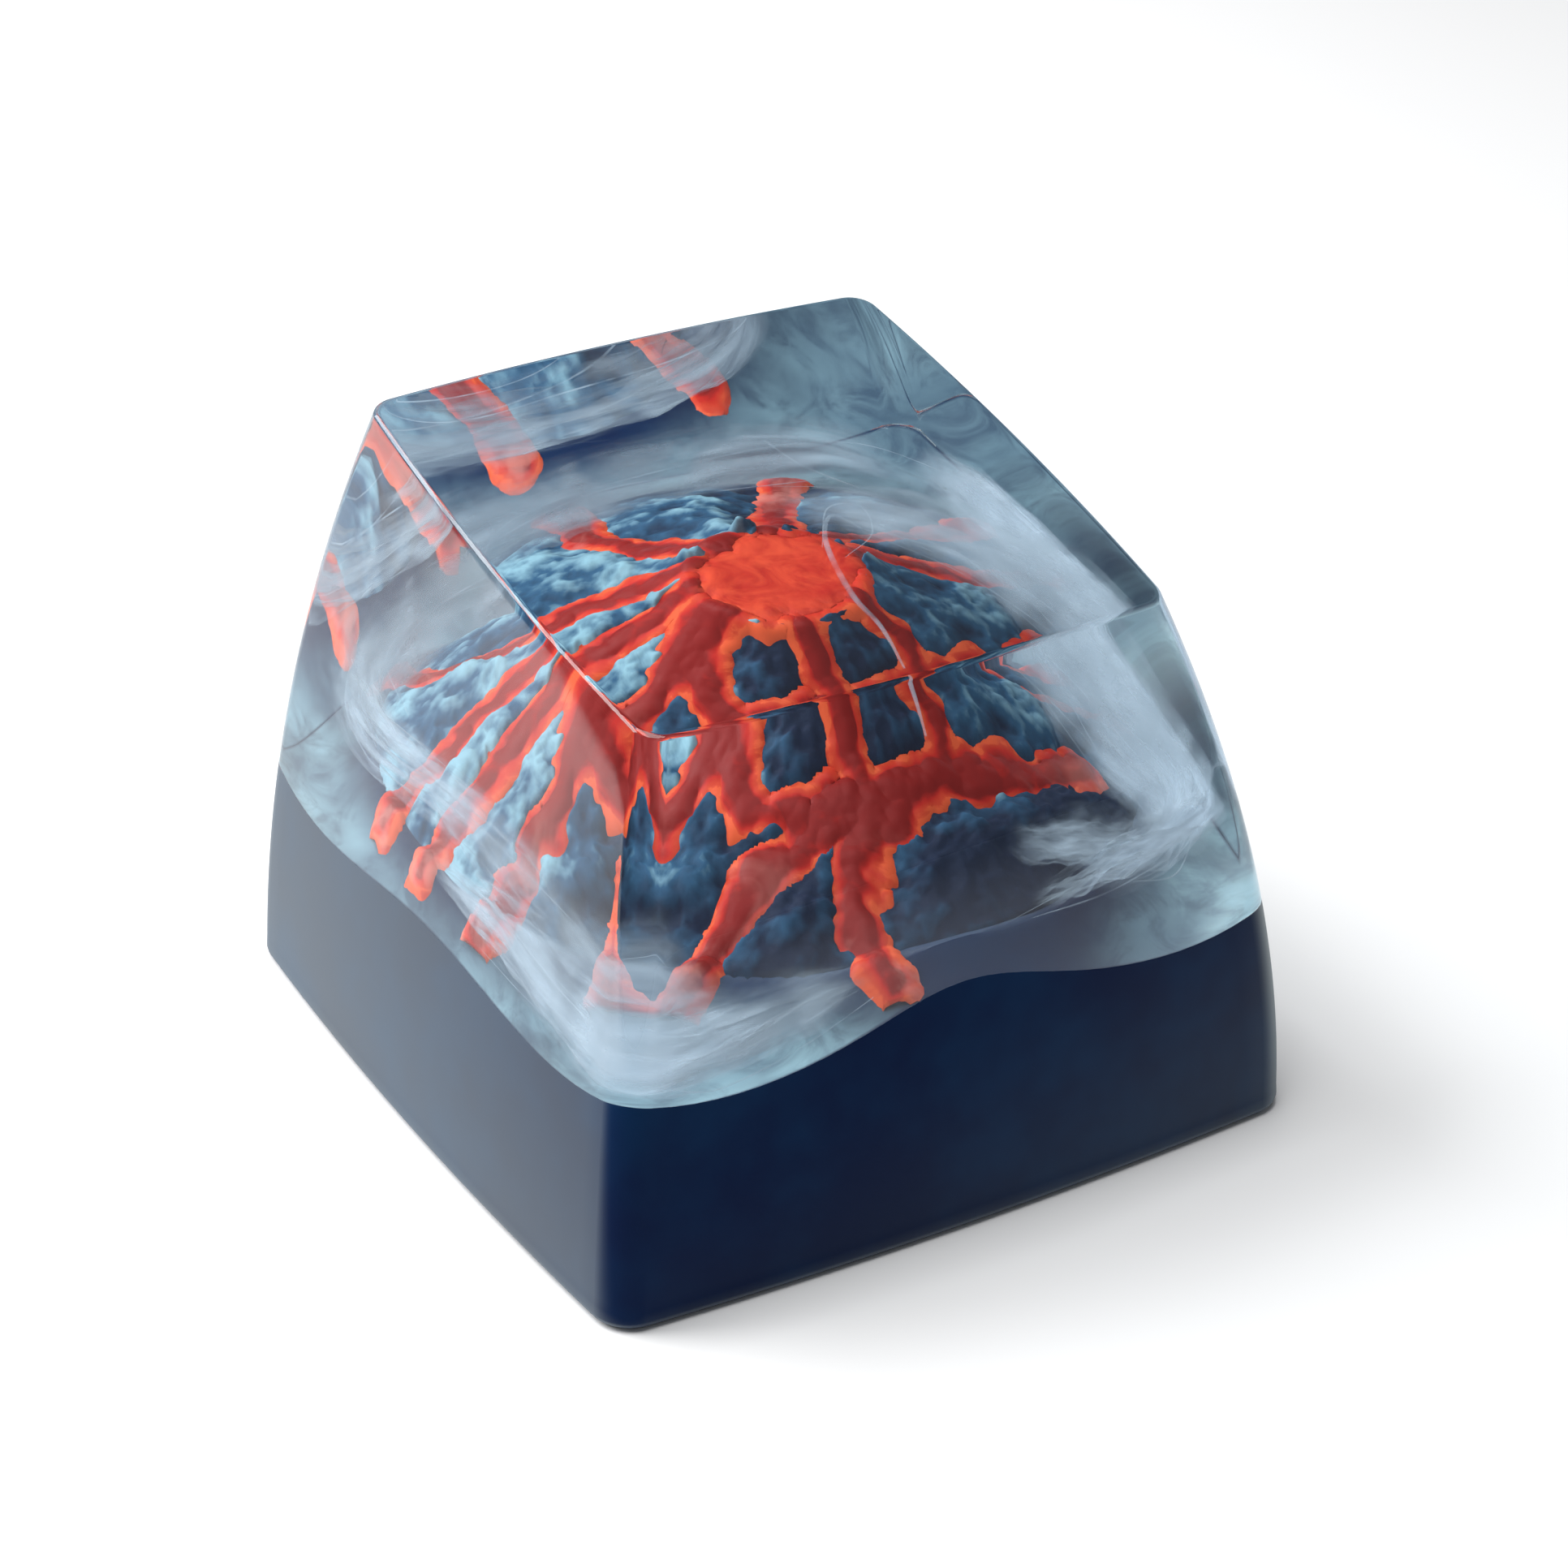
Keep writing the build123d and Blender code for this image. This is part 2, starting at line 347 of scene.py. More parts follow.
class Nodes:
    """A short way to write one material's node tree."""

    def __init__(self, name):
        self.material = bpy.data.materials.new(name)
        self.material.use_nodes = True
        self.tree = self.material.node_tree
        self.tree.nodes.clear()
        self.output = self.add("ShaderNodeOutputMaterial")

    def add(self, kind, **settings):
        """Adds a node, with its settings and its unlinked inputs by name."""
        node = self.tree.nodes.new(kind)
        for key, value in settings.items():
            setattr(node, key, value)
        return node

    def link(self, source, target):
        """Joins an output socket to an input socket."""
        self.tree.links.new(source, target)

    def set(self, node, **values):
        """Sets unlinked inputs: words joined by _ stand for the socket's name."""
        for key, value in values.items():
            socket = node.inputs[key.replace("_", " ")]
            if isinstance(value, bpy.types.NodeSocket):
                self.link(value, socket)
            else:
                socket.default_value = value
        return node

    def place(self):
        """Object coordinates."""
        return self.add("ShaderNodeTexCoord").outputs["Object"]

    def attribute(self, name):
        """A number stored on the mesh."""
        return self.add("ShaderNodeAttribute", attribute_name=name).outputs["Fac"]

    def noise(self, vector, scale, detail=4.0, roughness=0.55, distortion=0.0):
        """Noise between 0 and 1."""
        node = self.add("ShaderNodeTexNoise")
        self.set(node, Vector=vector, Scale=scale, Detail=detail)
        self.set(node, Roughness=roughness, Distortion=distortion)
        return node.outputs["Fac"]

    def ramp(self, value, stops):
        """A colour ramp over (place, colour) stops."""
        node = self.add("ShaderNodeValToRGB")
        elements = node.color_ramp.elements
        while len(elements) < len(stops):
            elements.new(0.5)
        for element, (place, tone) in zip(elements, stops):
            element.position = place
            element.color = tuple(tone) + (1.0,) if len(tone) == 3 else tuple(tone)
        self.link(value, node.inputs["Fac"])
        return node.outputs["Color"]

    def spread(self, value, low, high, to_low=0.0, to_high=1.0):
        """A number mapped from one range to another, smoothly and within limits."""
        node = self.add("ShaderNodeMapRange", interpolation_type="SMOOTHSTEP")
        self.set(node, Value=value, From_Min=low, From_Max=high, To_Min=to_low, To_Max=to_high)
        return node.outputs["Result"]

    def maths(self, operation, first, second):
        """Two numbers put together."""
        node = self.add("ShaderNodeMath", operation=operation)
        for socket, value in zip(node.inputs, (first, second)):
            if isinstance(value, bpy.types.NodeSocket):
                self.link(value, socket)
            else:
                socket.default_value = value
        return node.outputs["Value"]

    def blend(self, part, first, second):
        """Two colours mixed by a number."""
        node = self.add("ShaderNodeMix", data_type="RGBA")
        for index, value in ((0, part), (6, first), (7, second)):
            if isinstance(value, bpy.types.NodeSocket):
                self.link(value, node.inputs[index])
            elif index == 0:
                node.inputs[index].default_value = value
            else:
                node.inputs[index].default_value = tuple(value) + (1.0,)
        return node.outputs[2]

    def bump(self, height, strength, distance):
        """A bump normal."""
        node = self.add("ShaderNodeBump")
        self.set(node, Strength=strength, Distance=distance, Height=height)
        return node.outputs["Normal"]

    def surface(self, shader):
        """Makes a shader the material's surface."""
        self.link(shader, self.output.inputs["Surface"])
        return self.material


def navy_resin(colours):
    """Satin navy casting resin with faint clouds, fine pores and settled white pigment inside."""
    nodes = Nodes("navy_resin")
    place = nodes.place()
    clouds = nodes.noise(place, 260.0, 3.0, 0.6)
    pores = nodes.noise(place, 5200.0, 2.0, 0.6)
    navy = nodes.blend(nodes.spread(clouds, 0.35, 0.75), colours.navy, colours.navy_light)
    haze = nodes.attribute("haze")
    wisps = nodes.noise(place, 700.0, 6.0, 0.62, 1.4)
    amount = nodes.maths("MULTIPLY", haze, nodes.spread(wisps, 0.28, 0.6, 0.45, 1.0))
    tone = nodes.blend(amount, navy, tuple(colours.haze))
    shader = nodes.add("ShaderNodeBsdfPrincipled")
    nodes.set(shader, Base_Color=tone, Specular_IOR_Level=0.03)
    nodes.set(shader, Roughness=nodes.spread(clouds, 0.3, 0.8, 0.34, 0.42))
    grain = nodes.bump(pores, 0.04, 0.02 * MM)
    nodes.set(shader, Normal=grain)
    gloss = nodes.add("ShaderNodeBsdfGlossy")
    nodes.set(gloss, Color=(0.90, 1.0, 0.98, 1.0), Roughness=0.42, Normal=grain)
    facing = nodes.add("ShaderNodeLayerWeight").outputs["Facing"]
    satin = nodes.add("ShaderNodeMixShader")
    nodes.link(nodes.spread(facing, 0.2, 0.8, 0.002, 0.17), satin.inputs[0])
    nodes.link(shader.outputs["BSDF"], satin.inputs[1])
    nodes.link(gloss.outputs["BSDF"], satin.inputs[2])
    return nodes.surface(satin.outputs["Shader"])


def slate_rock(colours):
    """Mottled slate: dark cracks, teal faces and pale raised tops, with painted light on the left side and
    painted shade at the front and on the lower front flank.
    """
    nodes = Nodes("rock_resin")
    place = nodes.place()
    mottle = nodes.noise(place, 520.0, 7.0, 0.66, 0.6)
    fine = nodes.noise(place, 2300.0, 5.0, 0.65)
    # The relief attribute holds the rock's tone, its painted light on the left and painted shade at the
    # front included.
    relief = nodes.attribute("relief")
    rock_tone_and_painted_light = nodes.maths("ADD", relief, nodes.maths("MULTIPLY", nodes.maths("SUBTRACT", mottle, 0.5), 0.9))
    tone = nodes.ramp(
        rock_tone_and_painted_light,
        (
            (0.10, colours.slate_dark_and_painted_shade),
            (0.38, mix(np.array(colours.slate_dark_and_painted_shade), np.array(colours.slate), 0.5)),
            (0.60, colours.slate),
            (1.0, colours.slate_pale_and_painted_light),
        ),
    )
    shader = nodes.add("ShaderNodeBsdfPrincipled")
    nodes.set(shader, Base_Color=tone, Specular_IOR_Level=0.1)
    nodes.set(shader, Roughness=nodes.spread(fine, 0.2, 0.8, 0.6, 0.85))
    nodes.set(shader, Normal=nodes.bump(fine, 0.5, 0.05 * MM))
    return nodes.surface(shader.outputs["BSDF"])


def lava_pigment_with_painted_glow(colours):
    """Red pigment, deeper in the middle of a stream and orange along its edges, with a faint painted glow.
    """
    nodes = Nodes("lava_resin")
    place = nodes.place()
    swirl = nodes.noise(place, 900.0, 5.0, 0.6, 1.2)
    gap = nodes.attribute("stream_gap")
    streaks = nodes.maths("MULTIPLY", nodes.maths("SUBTRACT", swirl, 0.5), 1.3)
    level = nodes.maths("ADD", nodes.spread(gap, -0.24, 0.14), streaks)
    stream = nodes.ramp(
        level,
        (
            (0.1, colours.lava_deep),
            (0.5, colours.lava_red),
            (0.9, mix(np.array(colours.lava_red), np.array(colours.lava_hot), 0.4)),
            (1.0, colours.lava_hot),
        ),
    )
    pool = nodes.attribute("pool")
    # The pool is painted brighter orange-red than the streams: partly its own pigment, partly painted light
    # from above on the crater's top.
    hot = nodes.blend(nodes.spread(swirl, 0.3, 0.7), (0.40, 0.016, 0.010), (0.62, 0.060, 0.024))
    drift = nodes.noise(place, 420.0, 4.0, 0.6, 0.8)
    low_down = nodes.spread(nodes.attribute("reach"), 0.55, 0.95)
    milk = nodes.maths("MULTIPLY", nodes.spread(drift, 0.46, 0.66, 0.0, 0.6), low_down)
    washed = nodes.blend(milk, stream, (0.52, 0.20, 0.17))
    tone = nodes.blend(pool, washed, hot)
    shader = nodes.add("ShaderNodeBsdfPrincipled")
    # The emission is a painted glow: the lava's own colour made to give light.
    nodes.set(shader, Base_Color=tone, Emission_Color=tone, Emission_Strength=0.08)
    nodes.set(shader, Specular_IOR_Level=0.1, Roughness=nodes.spread(swirl, 0.2, 0.8, 0.4, 0.6))
    nodes.set(shader, Normal=nodes.bump(swirl, 0.25, 0.05 * MM))
    return nodes.surface(shader.outputs["BSDF"])


def clear_resin():
    """Polished clear resin that bends what is behind it and lets lamps reach the scene inside."""
    nodes = Nodes("clear_resin")
    place = nodes.place()
    polish = nodes.noise(place, 420.0, 3.0, 0.5)
    glass = nodes.add("ShaderNodeBsdfPrincipled")
    nodes.set(glass, Base_Color=(0.86, 0.95, 0.97, 1.0), IOR=1.5, Transmission_Weight=1.0)
    nodes.set(glass, Roughness=nodes.spread(polish, 0.3, 0.8, 0.0, 0.015))
    nodes.set(glass, Normal=nodes.bump(polish, 0.02, 0.02 * MM))
    path = nodes.add("ShaderNodeLightPath")
    passing = nodes.add("ShaderNodeBsdfTransparent")
    passing.inputs["Color"].default_value = (0.96, 0.98, 0.99, 1.0)
    inner = nodes.add("ShaderNodeMixShader")
    nodes.link(path.outputs["Is Diffuse Ray"], inner.inputs[0])
    nodes.link(glass.outputs["BSDF"], inner.inputs[1])
    nodes.link(passing.outputs["BSDF"], inner.inputs[2])
    outer = nodes.add("ShaderNodeMixShader")
    nodes.link(path.outputs["Is Shadow Ray"], outer.inputs[0])
    nodes.link(inner.outputs["Shader"], outer.inputs[1])
    nodes.link(passing.outputs["BSDF"], outer.inputs[2])
    return nodes.surface(outer.outputs["Shader"])


def smoke_pigment(colours):
    """White pigment drawn out in fibres: dense in the middle of a veil, gone at its borders."""
    nodes = Nodes("smoke_pigment")
    uv = nodes.add("ShaderNodeUVMap", uv_map="flow").outputs["UV"]
    stretch = nodes.add("ShaderNodeVectorMath", operation="MULTIPLY")
    nodes.link(uv, stretch.inputs[0])
    stretch.inputs[1].default_value = (0.35, 1.7, 1.0)
    fibres = nodes.noise(stretch.outputs[0], 1.0, 5.0, 0.6, 1.1)
    clouds = nodes.noise(nodes.place(), 380.0, 2.0, 0.5, 0.8)
    fade = nodes.attribute("fade")
    strand = nodes.spread(fibres, 0.32, 0.68, 0.22, 1.0)
    body = nodes.spread(clouds, 0.32, 0.64, 0.2, 1.0)
    alpha = nodes.maths("MULTIPLY", nodes.maths("MULTIPLY", strand, body), fade)
    shader = nodes.add("ShaderNodeBsdfPrincipled")
    shaded = mix(np.array(colours.smoke), np.zeros(3), 0.15)
    tone = nodes.blend(nodes.spread(fibres, 0.4, 0.7), shaded, colours.smoke)
    nodes.set(shader, Base_Color=tone, Roughness=0.9, Specular_IOR_Level=0.0, Alpha=alpha)
    # The emission is a faint painted glow that brightens the smoke's own colour.
    nodes.set(shader, Emission_Color=tone, Emission_Strength=0.04)
    return nodes.surface(shader.outputs["BSDF"])


def studio_floor(colours):
    """Matt pale floor."""
    nodes = Nodes("studio_floor")
    grain = nodes.noise(nodes.place(), 90.0, 3.0)
    tone = nodes.blend(grain, tuple(colours.floor), tuple(0.985 * part for part in colours.floor))
    shader = nodes.add("ShaderNodeBsdfPrincipled")
    nodes.set(shader, Base_Color=tone, Roughness=0.9, Specular_IOR_Level=0.0)
    return nodes.surface(shader.outputs["BSDF"])


# Volcano surface

def stream_gap(volcano, x, y):
    """Plan distances from the lava's bank and from the pool's, below 0 inside."""
    wide, fine = 0.38 * MM, 0.13 * MM
    x = x + wide * bumps(x, y, 1.7 * MM, 1, 2) + fine * bumps(x, y, 0.5 * MM, 11, 2)
    y = y + wide * bumps(x, y, 1.7 * MM, 2, 2) + fine * bumps(x, y, 0.5 * MM, 12, 2)
    uneven = 0.16 * MM * bumps(x, y, 1.1 * MM, 13, 3)
    softness = 0.16 * MM
    behind = smooth_step(-0.3, 0.8, np.sin(np.arctan2(y, x) + 0.3))
    pool = np.hypot(x, y) - volcano.pool + 0.35 * MM * behind * (0.5 + bumps(x, y, 0.9 * MM, 21, 3))
    gap = pool
    for scale, stream in STREAMS:
        points = [np.array(point) * volcano.foot for point in stream]
        last = len(points) - 1
        for number in range(last):
            start, end = points[number], points[number + 1]
            run = end - start
            along = ((x - start[0]) * run[0] + (y - start[1]) * run[1]) / (run @ run)
            along = np.clip(along, 0.0, 1.0)
            width = scale * mix(volcano.head, volcano.toe, (number + along) / last)
            far = np.hypot(x - start[0] - along * run[0], y - start[1] - along * run[1]) - width / 2
            mixed = np.clip(0.5 + 0.5 * (gap - far) / softness, 0.0, 1.0)
            gap = mix(gap, far, mixed) - softness * mixed * (1.0 - mixed)
    return np.maximum(gap + uneven, x - volcano.foot), pool


def cone_height(volcano, r):
    """Height of the plain cone at a distance from its axis."""
    out = np.clip((r - volcano.rim) / (volcano.foot - volcano.rim), 0.0, None)
    flank = 1.0 - np.minimum(out, 1.0) ** (1 / volcano.hollow)
    inside = volcano.plateau + (volcano.height - volcano.plateau) * flank
    return inside - np.maximum(r - volcano.foot, 0.0) * 1.9


def polar_grid(volcano, reach, rings, sectors):
    """Plan points on rings that are closer together near the crater."""
    centre = 0.12 * MM
    radii = centre + (reach - centre) * (np.arange(rings) / (rings - 1)) ** 1.15
    angles = 2 * np.pi * np.arange(sectors) / sectors
    r, angle = np.meshgrid(radii, angles, indexing="ij")
    return r * np.cos(angle), r * np.sin(angle)


def rock_surface(volcano, x, y, gap):
    """Height and tone of the rock: ridges, lumps and cracks, cut by the lava's trenches; the tone also
    holds painted light and painted shade.
    """
    r = np.hypot(x, y)
    angle = np.arctan2(y, x)
    lumps = bumps(x, y, 1.7 * MM, 3, 4)
    creases = 1.0 - 2.2 * np.abs(bumps(x, y, 1.3 * MM, 5, 4))
    grain = bumps(x, y, 0.40 * MM, 4, 3)
    ridge = np.cos(9 * angle)
    bank = smooth_step(-0.12 * MM, 0.22 * MM, gap + 0.05 * MM * grain)
    crown = smooth_step(0.0, 1.2 * MM, gap)
    back = smooth_step(-0.3, 0.8, np.sin(angle + 0.3))
    crest = np.exp(-(((r - volcano.rim - 0.2 * MM) / (0.35 * MM)) ** 2))
    lip = crest * mix(-0.08, 0.75, back) * (0.8 + 0.9 * lumps) * MM
    fade = 1.0 - smooth_step(0.8, 1.05, r / volcano.foot)
    relief = 0.24 * lumps + 0.03 * grain + 0.30 * crown + 0.10 * creases + 0.08 * ridge
    rise = volcano.trench + MM * relief * mix(0.4, 1.0, fade)
    height = cone_height(volcano, r) - volcano.trench + bank * rise
    # Painted light and shade: left marks the left side, painted paler; front marks the upper front flank,
    # painted darker; low marks the lower front flank, painted darker, most towards the right.
    left = smooth_step(-0.2, 0.9, -np.cos(angle + 0.5))
    front = smooth_step(0.2, 0.9, -np.sin(angle + 0.35)) * (1.0 - smooth_step(3.6 * MM, 5.2 * MM, r))
    low = smooth_step(0.0, 0.8, -np.sin(angle)) * smooth_step(4.6 * MM, 6.0 * MM, r)
    low = low * mix(0.2, 0.6, smooth_step(-0.25, 0.15, np.cos(angle)))
    drip = np.exp(-(((gap - 0.12 * MM) / (0.10 * MM)) ** 2))
    drip = drip * smooth_step(0.0, 0.5, bumps(x, y, 1.2 * MM, 8, 2))
    # Tone: paler on raised lumps and ridges, plus painted light on the left, minus painted shade at the
    # front and low down; drip adds pale lines along the lava.
    tone = 0.40 + 0.45 * lumps + 0.28 * (creases - 0.5) + 0.22 * grain + 0.36 * left
    tone = tone - 0.24 * front - low + drip * mix(0.2, 0.6, left)
    return height + lip * bank, tone


def closed_heightfield(name, x, y, z, floor, material):
    """A closed solid: a polar height field over a flat underside."""
    rings, sectors = x.shape
    points = [(0.0, 0.0, float(z[0].mean()))]
    points += list(zip(x.ravel(), y.ravel(), z.ravel()))
    outer = 1 + (rings - 1) * sectors
    points += [(a, b, floor) for a, b in zip(x[-1], y[-1])]
    points.append((0.0, 0.0, floor))
    faces = [(0, 1 + step, 1 + (step + 1) % sectors) for step in range(sectors)]
    for ring in range(rings):
        faces += ring_faces(1 + ring * sectors, 1 + (ring + 1) * sectors, sectors)
    lower = outer + sectors
    faces += [(lower + (step + 1) % sectors, lower + step, len(points) - 1) for step in range(sectors)]
    piece = mesh_object(name, points, faces, material)
    turn_outwards(piece, DOUBLES)
    return piece


# Smoke

def flow_line(points, count):
    """Evenly spaced places on a smooth curve through the points."""
    ends = [2 * points[0] - points[1]] + list(points) + [2 * points[-1] - points[-2]]
    line = []
    for number in range(len(points) - 1):
        a, b, c, d = ends[number : number + 4]
        for step in range(24):
            t = step / 24
            square = (2 * a - 5 * b + 4 * c - d) * t**2
            cube = (3 * b - a - 3 * c + d) * t**3
            line.append(0.5 * (2 * b + (c - a) * t + square + cube))
    line.append(points[-1])
    line = np.array(line)
    steps = np.concatenate(([0.0], np.cumsum(np.linalg.norm(np.diff(line, axis=0), axis=1))))
    wanted = np.linspace(0.0, steps[-1], count)
    return np.stack([np.interp(wanted, steps, line[:, axis]) for axis in range(3)], axis=1), steps[-1]


class Veils:
    """Collects ribbons of smoke into one mesh."""

    def __init__(self, form, volcano):
        self.form, self.volcano = form, volcano
        self.points, self.faces, self.flow, self.fade = [], [], [], []

    def kept_inside(self, point, margin):
        """The point moved inside the dome, clear of its walls and of the mound."""
        form = self.form
        x, y, z = point
        middle = (form.front_height + form.back_height) / 2
        z = min(z, form.front_height - 0.5 * MM)
        height = z / (middle + y / form.base_width * (form.back_height - form.front_height))
        inset = height + form.fullness * (height**2 - height)
        half_x = mix(form.base_width, form.top_width, inset) / 2 - form.base_bow - margin
        half_y = mix(form.base_width, form.top_depth, inset) / 2 - form.base_bow - margin
        back = form.set_back * inset
        x = min(max(x, -half_x), half_x)
        y = min(max(y, back - half_y), back + half_y)
        z = max(z, float(mound_height(self.volcano, x, y)) + 0.3 * margin)
        return Vector((x, y, z))

    def ribbon(self, points, shift, width, turn, twist, density, seed):
        """One veil beside a path, shifted and turned about it, twisting and wavering along it."""
        along_count, across_count = 64, 12
        path, run = flow_line([np.array(point) * MM for point in points], along_count)
        first = len(self.points)
        margin = WALL_MARGIN + 0.05 * MM * (seed % 10)
        for step in range(along_count):
            before, after = path[max(step - 1, 0)], path[min(step + 1, along_count - 1)]
            ahead = Vector(after - before).normalized()
            level = Vector((0, 0, 1)).cross(ahead).normalized()
            upright = ahead.cross(level)
            u = step / (along_count - 1)
            angle = turn + twist * u
            across = level * math.cos(angle) + upright * math.sin(angle)
            normal = ahead.cross(across)
            swell = math.sin(math.pi * min(0.08 + 0.92 * u, 1.0)) ** 0.5
            spread = width * MM * swell * (0.8 + 0.5 * noise.noise(Vector((u * 2.2, seed * 1.9, 3.3))))
            middle = Vector(path[step]) + (level * shift[0] + upright * shift[1]) * MM * swell
            for place in range(across_count + 1):
                v = place / across_count
                wave = noise.fractal(Vector((u * 5.0, v * 2.2, seed * 3.1)), 1.0, 2.0, 3)
                spot = middle + across * (v - 0.5) * spread + normal * 0.3 * MM * wave
                self.points.append(self.kept_inside(spot, margin))
                self.flow.append((u * run / MM + seed * 3.7, (v - 0.5) * spread / MM + seed * 1.3))
                ends = smooth_step(0.0, 0.22, u) * (1.0 - smooth_step(0.72, 1.0, u))
                self.fade.append(density * ends * math.sin(math.pi * v) ** 1.2)
        for step in range(along_count - 1):
            for place in range(across_count):
                corner = first + step * (across_count + 1) + place
                beyond = corner + across_count + 1
                self.faces.append((corner, corner + 1, beyond + 1, beyond))

    def bundle(self, bank, seed):
        """All the veils of one bank, spread over its thickness and turned different ways."""
        for layer in range(bank["layers"]):
            turn = GOLDEN_ANGLE * layer
            reach = bank["radius"] * math.sqrt((layer + 0.5) / bank["layers"])
            shift = (reach * math.cos(turn), reach * math.sin(turn))
            width = bank["width"] * (0.7 + 0.6 * (layer % 3) / 2)
            style = (1.3 * turn, bank["twist"], bank["density"])
            self.ribbon(bank["path"], shift, width, *style, seed + layer)

    def make(self, name, material):
        """The mesh object, with its flow map and fade."""
        piece = mesh_object(name, self.points, self.faces, material)
        layer = piece.data.uv_layers.new(name="flow")
        for loop in piece.data.loops:
            layer.data[loop.index].uv = self.flow[loop.vertex_index]
        add_attribute(piece, "fade", self.fade)
        return piece


WALL_MARGIN = 0.12 * MM
GOLDEN_ANGLE = math.pi * (3 - math.sqrt(5))
WAVER_LAYER = 5.3

# Banks of smoke: the solid that each belongs to, middle line, radius and veil width in millimetres
SMOKE_BANKS = (
    {
        "node": "smoke_crescent",
        "path": (
            (1.6, 3.0, 9.9), (3.8, 1.8, 9.6), (5.5, -0.4, 8.8), (6.5, -3.2, 7.6),
            (6.9, -5.5, 7.1), (5.8, -6.8, 6.9), (3.8, -7.4, 6.6),
        ),
        "radius": 0.75, "width": 2.2, "twist": 1.2, "density": 0.75, "layers": 14, "strands": 12,
    },
    {
        "node": "smoke_crescent",
        "path": ((7.3, -4.2, 7.3), (7.1, -6.2, 7.3), (5.7, -7.2, 7.3), (4.0, -7.5, 7.1), (2.0, -7.6, 6.9)),
        "radius": 0.4, "width": 1.5, "twist": 0.5, "density": 0.7, "layers": 8, "strands": 3,
    },
    {
        "node": "smoke_crescent",
        "path": ((1.8, -6.6, 8.2), (3.2, -6.9, 7.7), (4.6, -7.0, 7.3), (5.9, -6.8, 7.2), (6.9, -5.6, 7.2)),
        "radius": 0.5, "width": 2.8, "twist": 0.3, "density": 0.45, "layers": 9, "strands": 3,
    },
    {
        "node": "smoke_corner",
        "path": (
            (-7.6, 0.5, 6.5), (-7.7, -2.2, 6.4), (-7.6, -6.0, 5.8),
            (-6.6, -7.4, 5.75), (-3.8, -7.7, 6.1), (-1.8, -7.7, 6.35),
        ),
        "radius": 0.6, "width": 2.2, "twist": 0.8, "density": 0.95, "layers": 14, "strands": 4,
    },
    {
        "node": "smoke_corner",
        "path": (
            (-7.3, 3.0, 8.0), (-7.5, -1.0, 7.8), (-7.2, -4.5, 7.2),
            (-6.6, -6.7, 6.7), (-4.4, -7.2, 6.6),
        ),
        "radius": 0.7, "width": 3.2, "twist": 0.6, "density": 0.35, "layers": 7, "strands": 2,
    },
    {
        "node": "smoke_back",
        "path": (
            (-6.9, -2.5, 8.0), (-7.1, 0.5, 8.0), (-6.7, 4.3, 7.6), (-4.5, 6.6, 7.4),
            (0.0, 7.2, 7.5), (4.5, 6.4, 7.7), (6.5, 3.4, 8.0),
        ),
        "radius": 0.75, "width": 2.8, "twist": 1.6, "density": 0.7, "layers": 12, "strands": 8,
    },
    {
        "node": "smoke_back",
        "path": ((6.6, 5.2, 8.0), (7.4, 2.8, 7.8), (7.7, -0.8, 7.5), (7.6, -4.0, 7.1), (7.2, -6.2, 6.7)),
        "radius": 0.65, "width": 2.8, "twist": 0.8, "density": 0.8, "layers": 10, "strands": 2,
    },
)

# Single threads in millimetres, with their radius
SMOKE_THREADS = (
    (
        (
            (2.4, 0.3, 11.2), (2.0, 0.9, 11.4), (1.5, 0.4, 11.2), (1.2, -0.5, 10.9),
            (1.0, -1.7, 10.6), (1.1, -2.6, 10.2), (1.0, -3.7, 9.5),
        ),
        0.075,
    ),
    (((1.3, 0.2, 10.9), (2.0, 1.1, 11.5), (2.7, 0.8, 11.6), (2.5, 0.0, 11.2), (1.6, -0.3, 10.8)), 0.022),
    (((2.6, 5.0, 10.6), (2.2, 4.0, 11.6), (2.5, 3.0, 11.4), (3.4, 2.2, 10.8), (4.4, 1.8, 10.0)), 0.03),
)


def bank_strands(bank, seed):
    """Fine strands that follow one bank, each a little beside it and wavering."""
    for number in range(bank["strands"]):
        turn = GOLDEN_ANGLE * number
        reach = 1.5 * bank["radius"] * math.sqrt((number + 0.5) / bank["strands"])
        points = []
        for place, point in enumerate(bank["path"]):
            key = Vector((place * 0.9, seed + number * 1.7, 0.5))
            layers = [key + Vector((0.0, 0.0, WAVER_LAYER * axis)) for axis in range(3)]
            waver = np.array([noise.noise(layer) for layer in layers]) * 0.6
            beside = np.array((math.cos(turn), math.sin(turn), 0.7 * math.sin(2.3 * turn))) * reach
            points.append(np.array(point) + beside + waver)
        start = number % 3
        yield points[start : start + 4 + number % 2], 0.009 + 0.006 * (number % 3)


